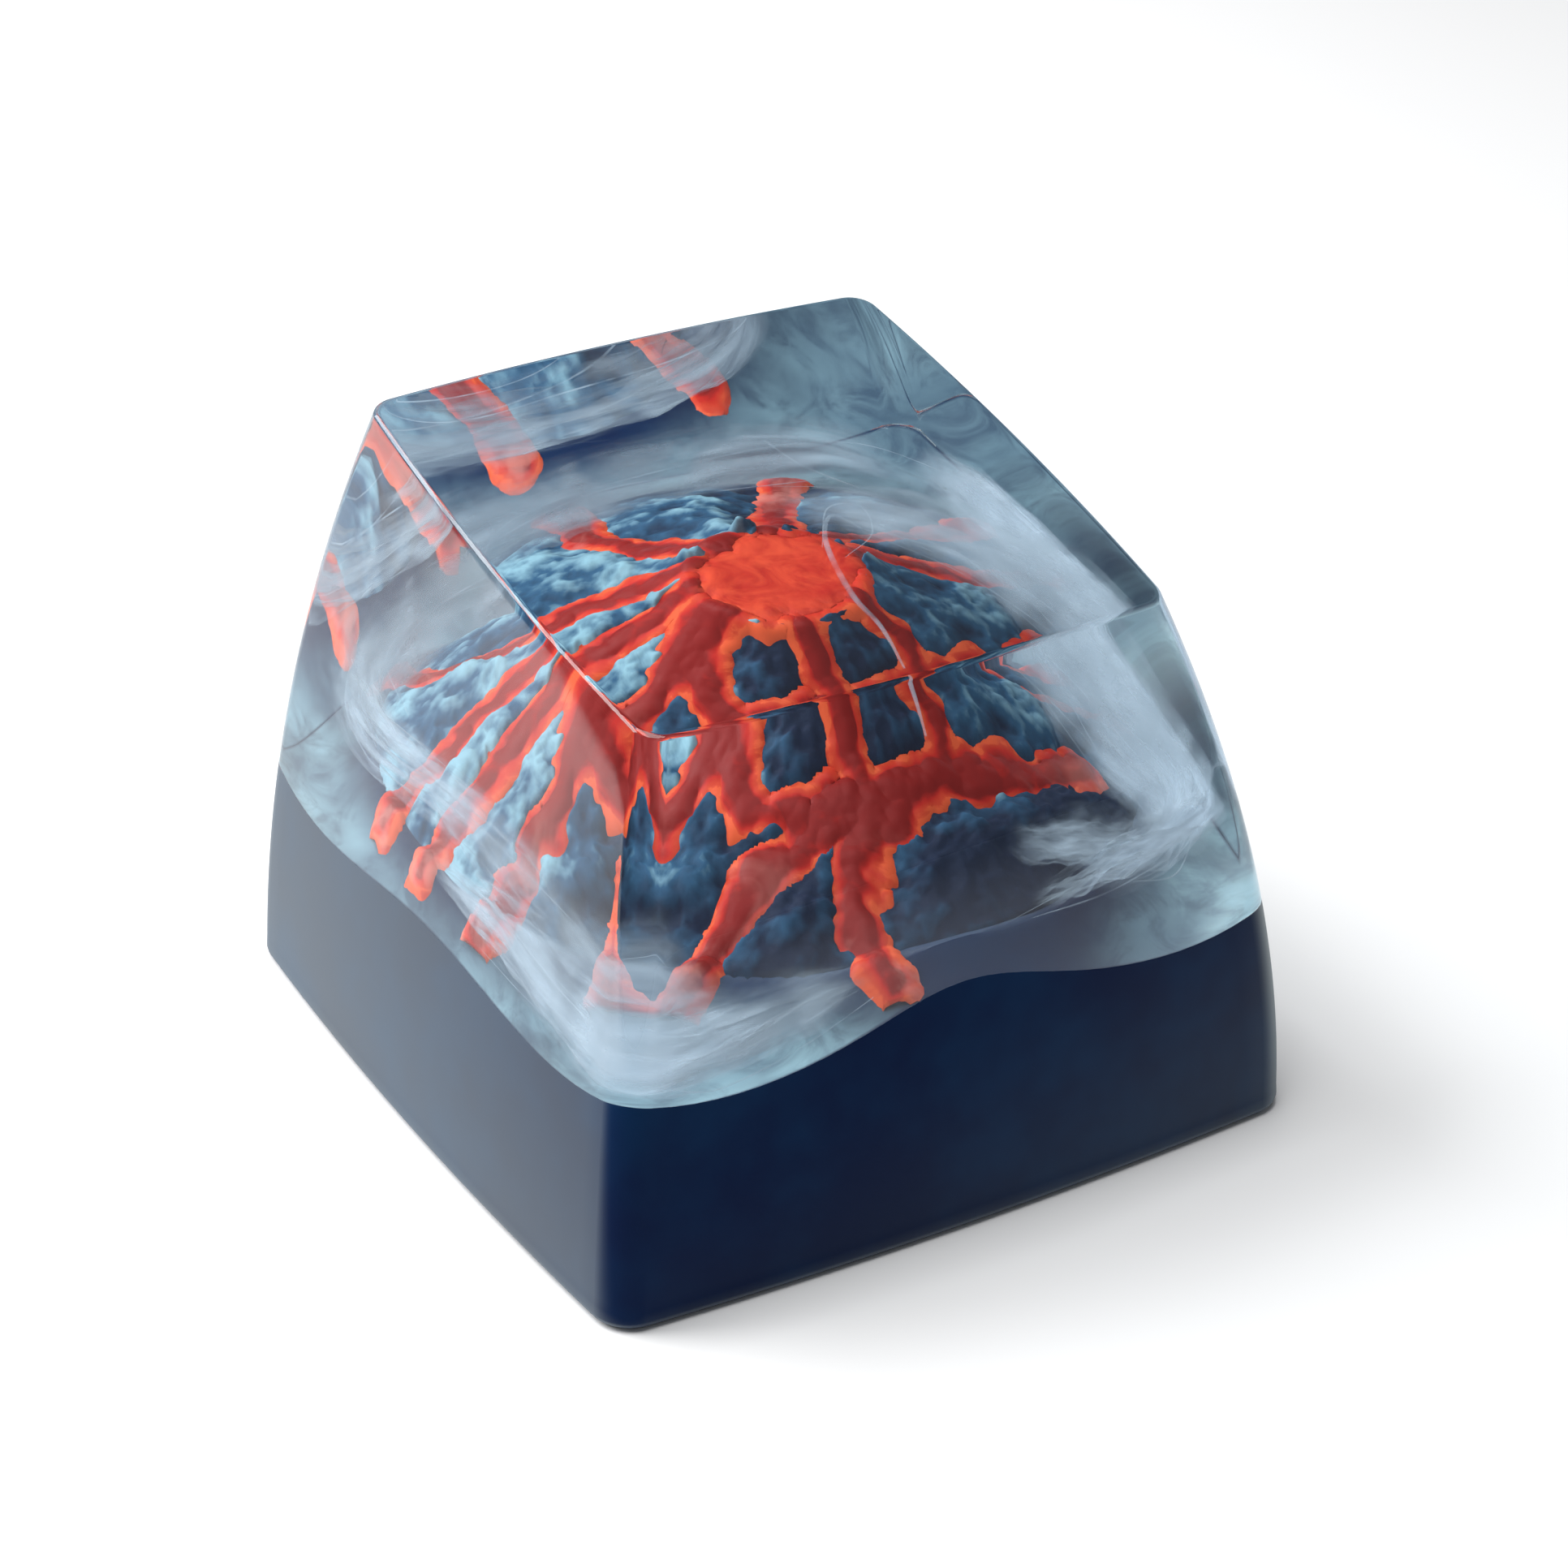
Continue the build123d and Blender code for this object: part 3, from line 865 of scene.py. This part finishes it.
def thread_tree(material):
    """Geometry nodes: turn guide curves into fine tubes whose thickness follows the curve's radius."""
    tree = bpy.data.node_groups.new("Smoke threads", "GeometryNodeTree")
    face = tree.interface
    face.new_socket("Geometry", in_out="INPUT", socket_type="NodeSocketGeometry")
    thickness = face.new_socket("Thickness", in_out="INPUT", socket_type="NodeSocketFloat")
    spacing = face.new_socket("Spacing", in_out="INPUT", socket_type="NodeSocketFloat")
    face.new_socket("Geometry", in_out="OUTPUT", socket_type="NodeSocketGeometry")
    start = tree.nodes.new("NodeGroupInput")
    resample = tree.nodes.new("GeometryNodeResampleCurve")
    resample.mode = "LENGTH"
    profile = tree.nodes.new("GeometryNodeCurvePrimitiveCircle")
    profile.inputs["Resolution"].default_value = 8
    tube = tree.nodes.new("GeometryNodeCurveToMesh")
    tube.inputs["Fill Caps"].default_value = True
    smooth = tree.nodes.new("GeometryNodeSetShadeSmooth")
    real = tree.nodes.new("GeometryNodeRealizeInstances")
    finish = tree.nodes.new("GeometryNodeSetMaterial")
    finish.inputs["Material"].default_value = material
    end = tree.nodes.new("NodeGroupOutput")
    radius = tree.nodes.new("GeometryNodeInputRadius")
    link = tree.links.new
    link(start.outputs["Geometry"], resample.inputs["Curve"])
    link(start.outputs["Spacing"], resample.inputs["Length"])
    link(start.outputs["Thickness"], profile.inputs["Radius"])
    link(resample.outputs["Curve"], tube.inputs["Curve"])
    link(profile.outputs["Curve"], tube.inputs["Profile Curve"])
    if "Scale" in tube.inputs:
        link(radius.outputs["Radius"], tube.inputs["Scale"])
    link(tube.outputs["Mesh"], smooth.inputs["Geometry"])
    link(smooth.outputs["Geometry"], real.inputs["Geometry"])
    link(real.outputs["Geometry"], finish.inputs["Geometry"])
    link(finish.outputs["Geometry"], end.inputs["Geometry"])
    return tree, thickness.identifier, spacing.identifier


def thread_pigment(colours):
    """Dense white pigment of the single threads, thinner here and there."""
    nodes = Nodes("smoke_thread")
    density = nodes.noise(nodes.place(), 900.0, 3.0, 0.6)
    shader = nodes.add("ShaderNodeBsdfPrincipled")
    tone = nodes.blend(density, mix(np.array(colours.smoke), np.zeros(3), 0.1), colours.smoke)
    nodes.set(shader, Base_Color=tone, Roughness=0.8, Specular_IOR_Level=0.0)
    nodes.set(shader, Alpha=nodes.spread(density, 0.3, 0.7, 0.03, 0.3))
    # The emission is a painted glow that brightens the threads.
    nodes.set(shader, Emission_Color=tone, Emission_Strength=0.1)
    return nodes.surface(shader.outputs["BSDF"])


# Operators

class KEYCAP_OT_base(bpy.types.Operator):
    """Builds the navy base: skirt, mound, hollow, stem post and socket"""

    bl_idname = "keycap.base"
    bl_label = "Base"

    def execute(self, context):
        scene = context.scene
        form, under, volcano = scene.keycap_form, scene.keycap_underside, scene.keycap_volcano
        columns = form_columns()
        tops = [line_share(form, volcano, column) for column in columns]
        rings = []
        haze = []

        def add_ring(ring, values):
            rings.append(ring)
            haze.extend(values)

        # Underside, from the middle of the socket out to the rim
        angles = np.array([math.atan2(*wall_point(form, column, 0.0)[1::-1]) for column in columns])
        arms = []
        for sign_x in (1, -1):
            for sign_y in (1, -1):
                arms.append(math.atan2(sign_y * under.bar_x / 2, sign_x * under.cross / 2))
                arms.append(math.atan2(sign_y * under.cross / 2, sign_x * under.bar_y / 2))
                arms.append(math.atan2(sign_y * under.bar_x / 2, sign_x * under.bar_y / 2))
        for arm in arms:
            near = np.argmin(np.abs(np.angle(np.exp(1j * (angles - arm)))))
            angles[near] = arm
        cos, sin = np.cos(angles), np.sin(angles)

        def box_reach(half_x, half_y):
            to_x = half_x / np.maximum(np.abs(cos), 1e-9)
            to_y = half_y / np.maximum(np.abs(sin), 1e-9)
            return np.minimum(to_x, to_y)

        def rounded_reach(half, radius):
            plain = box_reach(half, half)
            inner = half - radius
            a, b = np.abs(cos), np.abs(sin)
            across = inner * (a + b)
            reach = across + np.sqrt(np.maximum(across**2 - 2 * inner**2 + radius**2, 0.0))
            in_corner = (plain * a > inner) & (plain * b > inner)
            return np.where(in_corner, reach, plain)

        def flat_ring(reach, z):
            return [(r * a, r * b, z) for r, a, b in zip(reach, cos, sin)]

        cross = np.maximum(
            box_reach(under.cross / 2, under.bar_x / 2), box_reach(under.bar_y / 2, under.cross / 2)
        )
        post = np.full(len(columns), under.post / 2)
        mouth = form.base_width / 2 - under.rim_wall
        roof = form.base_width / 2 - under.roof_wall
        none = [0.0] * len(columns)
        socket_top = under.recess + under.socket
        for reach, z in (
            (cross * 0.5, socket_top),
            (cross, socket_top),
            (cross, under.recess),
            (post - 0.1 * MM, under.recess),
            (post, under.recess + 0.1 * MM),
            (post, under.depth),
            (rounded_reach(roof, under.corner), under.depth),
            (rounded_reach(mouth, under.corner), 0.12 * MM),
            (rounded_reach(mouth + 0.12 * MM, under.corner), 0.0),
        ):
            add_ring(flat_ring(reach, z), none)

        # Outer wall: rounded lower edge, then up to the wavy line
        for step in range(5):
            turn = math.pi / 2 * step / 4
            inward = form.rim_radius * (1 - math.sin(turn))
            height = form.rim_radius * (1 - math.cos(turn))
            ring = [(*wall_point(form, column, 0.0, inward)[:2], height) for column in columns]
            add_ring(ring, none)
        start = form.rim_radius / form.front_height
        wall_steps = 22
        for step in range(1, wall_steps + 1):
            ring = [
                wall_point(form, column, mix(start, top, step / wall_steps))
                for column, top in zip(columns, tops)
            ]
            add_ring(ring, none)

        # Top of the pour, inside the resin
        edge = np.array(rings[-1])
        for step in range(1, 40):
            part = (step / 40) ** 1.3
            x, y = edge[:, 0] * (1 - part), edge[:, 1] * (1 - part)
            z = mound_height(volcano, x, y)
            add_ring(list(zip(x, y, z)), settled_haze(volcano, x, y))
        piece = capped_stack("navy_base", rings, navy_resin(scene.keycap_colours), 40)
        add_attribute(piece, "haze", haze)
        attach(piece, BODY)
        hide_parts("base_shell")
        return {"FINISHED"}


def settled_haze(volcano, x, y):
    """How much white pigment has settled on the mound: most at the front corners, none mid-front."""
    r = np.hypot(x, y)
    turn = np.degrees(np.arctan2(y, x))
    angles = (-180, -150, -125, -106, -98, -74, -66, -45, -15, 10, 40, 75, 110, 150, 180)
    amounts = (0.7, 0.9, 1.0, 0.7, 0.0, 0.0, 0.15, 0.8, 1.0, 0.95, 0.4, 0.75, 0.9, 0.9, 0.7)
    gutter = smooth_step(7.6 * MM, 9.2 * MM, r)
    wisps = bumps(x, y, 2.0 * MM, 9, 4)
    return np.clip(gutter * np.interp(turn, angles, amounts) * (0.75 + 0.55 * wisps), 0.0, 1.0)


class KEYCAP_OT_dome(bpy.types.Operator):
    """Builds the clear dome, whose hidden foot reaches a little into the base, with no air between"""

    bl_idname = "keycap.dome"
    bl_label = "Clear dome"

    def execute(self, context):
        scene = context.scene
        form, volcano = scene.keycap_form, scene.keycap_volcano
        columns = form_columns()
        lines = [line_share(form, volcano, column) for column in columns]
        inset, sink = 0.05 * MM, 0.3 * MM
        rings = []
        edge = np.array([wall_point(form, column, line, 8 * inset) for column, line in zip(columns, lines)])
        for part in (0.04, 0.2, 0.4, 0.55, 0.7, 0.8, 0.88, 0.94, 1.0):
            x, y = edge[:, 0] * part, edge[:, 1] * part
            rings.append(list(zip(x, y, mound_height(volcano, x, y) - sink)))
        step_in = [wall_point(form, column, line, inset) for column, line in zip(columns, lines)]
        rings.append([(x, y, z - inset / 2) for x, y, z in step_in])
        wall_steps = 44
        top = 1.0 - form.edge_radius / form.front_height
        for step in range(wall_steps + 1):
            rings.append([
                wall_point(form, column, mix(line, top, step / wall_steps))
                for column, line in zip(columns, lines)
            ])
        edge_steps = 6
        for step in range(1, edge_steps + 1):
            turn = math.pi / 2 * step / edge_steps
            height = mix(top, 1.0, math.sin(turn))
            inward = form.edge_radius * (1 - math.cos(turn))
            rings.append([wall_point(form, column, height, inward) for column in columns])
        rings.append([wall_point(form, column, 1.0, 1.15 * form.edge_radius) for column in columns])
        ceiling = CAD_BOX[1][2]
        rings = [[(x, y, min(z, ceiling)) for x, y, z in ring] for ring in rings]
        piece = capped_stack("resin_dome", rings, clear_resin(), 60)
        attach(piece, BODY)
        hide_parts("clear_dome")
        return {"FINISHED"}


class KEYCAP_OT_rock(bpy.types.Operator):
    """Builds the slate cone with its ridges, cracks and lava trenches"""

    bl_idname = "keycap.rock"
    bl_label = "Volcano rock"

    def execute(self, context):
        scene = context.scene
        volcano = scene.keycap_volcano
        x, y = polar_grid(volcano, volcano.foot + 1.0 * MM, 170, 480)
        gap, _ = stream_gap(volcano, x, y)
        z, relief = rock_surface(volcano, x, y, gap)
        floor = volcano.plateau - 0.9 * MM
        z = np.maximum(z, floor + 0.05 * MM)
        piece = closed_heightfield("slate_cone", x, y, z, floor, slate_rock(scene.keycap_colours))
        # relief carries the rock's tone, with painted light on the left side and painted shade at the front
        # and on the lower front flank.
        tone = np.full(len(piece.data.vertices), 0.5)
        tone[1 : 1 + relief.size] = np.clip(relief.ravel(), 0.0, 1.0)
        add_attribute(piece, "relief", tone)
        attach(piece, BODY)
        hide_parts("volcano_rock")
        return {"FINISHED"}


class KEYCAP_OT_lava(bpy.types.Operator):
    """Builds the lava pool and its streams as one sheet with thickness, lying in the rock's trenches"""

    bl_idname = "keycap.lava"
    bl_label = "Lava"

    def execute(self, context):
        scene = context.scene
        volcano = scene.keycap_volcano
        rings, sectors = 140, 420
        x, y = polar_grid(volcano, volcano.foot + 1.0 * MM, rings, sectors)
        gap, pool = stream_gap(volcano, x, y)
        r = np.hypot(x, y)
        calm = smooth_step(-0.5 * MM, 0.1 * MM, pool)
        swell = 0.09 * MM * bumps(x, y, 0.7 * MM, 6, 3)
        swell = swell * mix(0.3, 1.0, calm) * smooth_step(0.0, 0.6 * MM, r)
        middle = 0.10 * MM * (1.0 - smooth_step(-0.4 * MM, 0.0, gap))
        sunk = 0.55 * MM * smooth_step(0.10 * MM, 0.40 * MM, gap)
        bed = np.maximum(cone_height(volcano, r) - 0.2 * MM, mound_height(volcano, x, y) - 0.04 * MM)
        inside = 1.0 - smooth_step(-0.12 * MM, 0.06 * MM, pool)
        z = bed + swell + middle - sunk - 0.08 * MM * inside
        points = [(0.0, 0.0, float(z[0].mean()))] + list(zip(x.ravel(), y.ravel(), z.ravel()))
        wanted = np.concatenate(([True], (gap < 0.42 * MM).ravel()))
        faces = [(0, 1 + (step + 1) % sectors, 1 + step) for step in range(sectors)]
        for ring in range(rings - 1):
            faces += ring_faces(1 + ring * sectors, 1 + (ring + 1) * sectors, sectors)
        faces = [face for face in faces if all(wanted[corner] for corner in face)]
        used = sorted({corner for face in faces for corner in face})
        number = {corner: index for index, corner in enumerate(used)}
        gaps = np.concatenate(([-1.0], gap.ravel() / MM))
        piece = mesh_object(
            "lava_streams",
            [points[corner] for corner in used],
            [tuple(number[corner] for corner in face) for face in faces],
            lava_pigment_with_painted_glow(scene.keycap_colours),
        )
        add_attribute(piece, "stream_gap", [gaps[corner] for corner in used])
        pools = np.concatenate(([1.0], inside.ravel()))
        add_attribute(piece, "pool", [pools[corner] for corner in used])
        reach = np.concatenate(([0.0], r.ravel() / volcano.foot))
        add_attribute(piece, "reach", [reach[corner] for corner in used])
        shell = piece.modifiers.new("thickness", "SOLIDIFY")
        shell.thickness = 0.2 * MM
        shell.offset = -1.0
        solid = bpy.data.meshes.new_from_object(piece.evaluated_get(context.evaluated_depsgraph_get()))
        piece.modifiers.clear()
        piece.data = solid
        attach(piece, BODY)
        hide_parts("lava")
        return {"FINISHED"}


class KEYCAP_OT_smoke(bpy.types.Operator):
    """Builds the banks of smoke as layered veils, and the single threads as fine tubes"""

    bl_idname = "keycap.smoke"
    bl_label = "Smoke"

    def execute(self, context):
        scene = context.scene
        colours = scene.keycap_colours
        pigment = smoke_pigment(colours)
        form, volcano = scene.keycap_form, scene.keycap_volcano
        for node in dict.fromkeys(bank["node"] for bank in SMOKE_BANKS):
            veils = Veils(form, volcano)
            for number, bank in enumerate(SMOKE_BANKS):
                if bank["node"] == node:
                    veils.bundle(bank, 1 + 40 * number)
            piece = veils.make(node + "_veils", pigment)
            piece.visible_shadow = False
            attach(piece, BODY)
            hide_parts(node)
        tree, thickness, spacing = thread_tree(thread_pigment(colours))
        curve = bpy.data.curves.new("smoke_threads", "CURVE")
        curve.dimensions = "3D"
        threads = list(SMOKE_THREADS)
        for number, bank in enumerate(SMOKE_BANKS):
            threads += bank_strands(bank, 10 * number)
        walls = Veils(form, volcano)
        for path, radius in threads:
            line, _ = flow_line([np.array(point) * MM for point in path], 48)
            line = [walls.kept_inside(point, 0.2 * MM) for point in line]
            spline = curve.splines.new("POLY")
            spline.points.add(len(line) - 1)
            for number, (point, spot) in enumerate(zip(line, spline.points)):
                spot.co = (*point, 1.0)
                spot.radius = radius * (0.35 + 0.65 * math.sin(math.pi * number / (len(line) - 1)))
        guide = bpy.data.objects.new("smoke_guides", curve)
        scene.collection.objects.link(guide)
        modifier = guide.modifiers.new("threads", "NODES")
        modifier.node_group = tree
        modifier[thickness] = MM
        modifier[spacing] = 0.12 * MM
        mesh = bpy.data.meshes.new_from_object(guide.evaluated_get(context.evaluated_depsgraph_get()))
        mesh.name = "smoke_threads"
        piece = bpy.data.objects.new("smoke_threads", mesh)
        piece.visible_shadow = False
        scene.collection.objects.link(piece)
        bpy.data.objects.remove(guide)
        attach(piece, BODY)
        return {"FINISHED"}


class KEYCAP_OT_stage(bpy.types.Operator):
    """Sets the pale floor, the soft lights and the camera"""

    bl_idname = "keycap.stage"
    bl_label = "Stage"

    def execute(self, context):
        scene = context.scene
        half = 0.6
        floor = mesh_object(
            "studio_floor",
            [(-half, -half, 0), (half, -half, 0), (half, half, 0), (-half, half, 0)],
            [(0, 1, 2, 3)],
            studio_floor(scene.keycap_colours),
            smooth=False,
        )
        add_softbox(scene, "key_left", (-0.105, 0.10, 0.10), (0.14, 0.12), 0.42)
        add_softbox(scene, "top", (-0.02, 0.0, 0.15), (0.10, 0.10), 0.16)
        world = bpy.data.worlds.new("studio")
        world.use_nodes = True
        backdrop = world.node_tree.nodes["Background"]
        backdrop.inputs["Color"].default_value = (0.93, 0.96, 1.0, 1.0)
        backdrop.inputs["Strength"].default_value = 0.2
        scene.world = world
        scene.view_settings.view_transform = "Standard"
        scene.cycles.max_bounces = 10
        scene.cycles.diffuse_bounces = 2
        scene.cycles.glossy_bounces = 4
        scene.cycles.transmission_bounces = 8
        scene.cycles.transparent_max_bounces = 40
        scene.cycles.use_denoising = True
        add_camera(scene)
        return {"FINISHED"}


# Camera: aim, angles and lens that match the photograph's view
AIM = (0.501 * MM, 0.003 * MM, 6.388 * MM)
DISTANCE = 92.99 * MM
AZIMUTH, ELEVATION, ROLL = math.radians(-31.825), math.radians(30.35), math.radians(1.512)
LENS, SENSOR = 93.28, 36.0


def add_camera(scene):
    """A camera turned by azimuth, elevation and roll about the aim."""
    back = Vector((
        math.sin(AZIMUTH) * math.cos(ELEVATION),
        -math.cos(AZIMUTH) * math.cos(ELEVATION),
        math.sin(ELEVATION),
    ))
    level = Vector((math.cos(AZIMUTH), math.sin(AZIMUTH), 0.0))
    upright = back.cross(level)
    right = level * math.cos(ROLL) + upright * math.sin(ROLL)
    up = back.cross(right)
    lens = bpy.data.cameras.new("camera")
    lens.lens = LENS
    lens.sensor_width = SENSOR
    lens.clip_start = 0.001
    camera = bpy.data.objects.new("camera", lens)
    turn = Matrix((right, up, back)).transposed().to_4x4()
    camera.matrix_world = Matrix.Translation(Vector(AIM) + back * DISTANCE) @ turn
    scene.collection.objects.link(camera)
    scene.camera = camera


def add_softbox(scene, name, place, size, power):
    """A rectangular soft light aimed at the keycap."""
    lamp = bpy.data.lights.new(name, "AREA")
    lamp.shape = "RECTANGLE"
    lamp.size, lamp.size_y = size
    lamp.energy = power
    light = bpy.data.objects.new(name, lamp)
    light.location = place
    light.rotation_euler = (Vector(AIM) - Vector(place)).to_track_quat("-Z", "Y").to_euler()
    scene.collection.objects.link(light)


class KEYCAP_PT_panel(bpy.types.Panel):
    """Lists the keycap's pieces in the sidebar"""

    bl_idname = "KEYCAP_PT_panel"
    bl_label = "Volcano keycap"
    bl_space_type = "VIEW_3D"
    bl_region_type = "UI"
    bl_category = "Keycap"

    def draw(self, context):
        for operator in OPERATORS:
            self.layout.operator(operator.bl_idname)


OPERATORS = (
    KEYCAP_OT_base,
    KEYCAP_OT_rock,
    KEYCAP_OT_lava,
    KEYCAP_OT_smoke,
    KEYCAP_OT_dome,
    KEYCAP_OT_stage,
)
GROUPS = {
    "keycap_form": KeycapForm,
    "keycap_underside": KeycapUnderside,
    "keycap_volcano": KeycapVolcano,
    "keycap_colours": KeycapColours,
}


def register():
    """Registers the settings, the operators and the panel."""
    for name, group in GROUPS.items():
        bpy.utils.register_class(group)
        setattr(bpy.types.Scene, name, PointerProperty(type=group))
    for operator in OPERATORS:
        bpy.utils.register_class(operator)
    bpy.utils.register_class(KEYCAP_PT_panel)


def unregister():
    """Takes them away again."""
    bpy.utils.unregister_class(KEYCAP_PT_panel)
    for operator in reversed(OPERATORS):
        bpy.utils.unregister_class(operator)
    for name, group in reversed(GROUPS.items()):
        delattr(bpy.types.Scene, name)
        bpy.utils.unregister_class(group)


def main():
    """Builds every piece."""
    register()
    bpy.ops.keycap.base()
    bpy.ops.keycap.rock()
    bpy.ops.keycap.lava()
    bpy.ops.keycap.smoke()
    bpy.ops.keycap.dome()
    bpy.ops.keycap.stage()


if __name__ == "__main__":
    main()
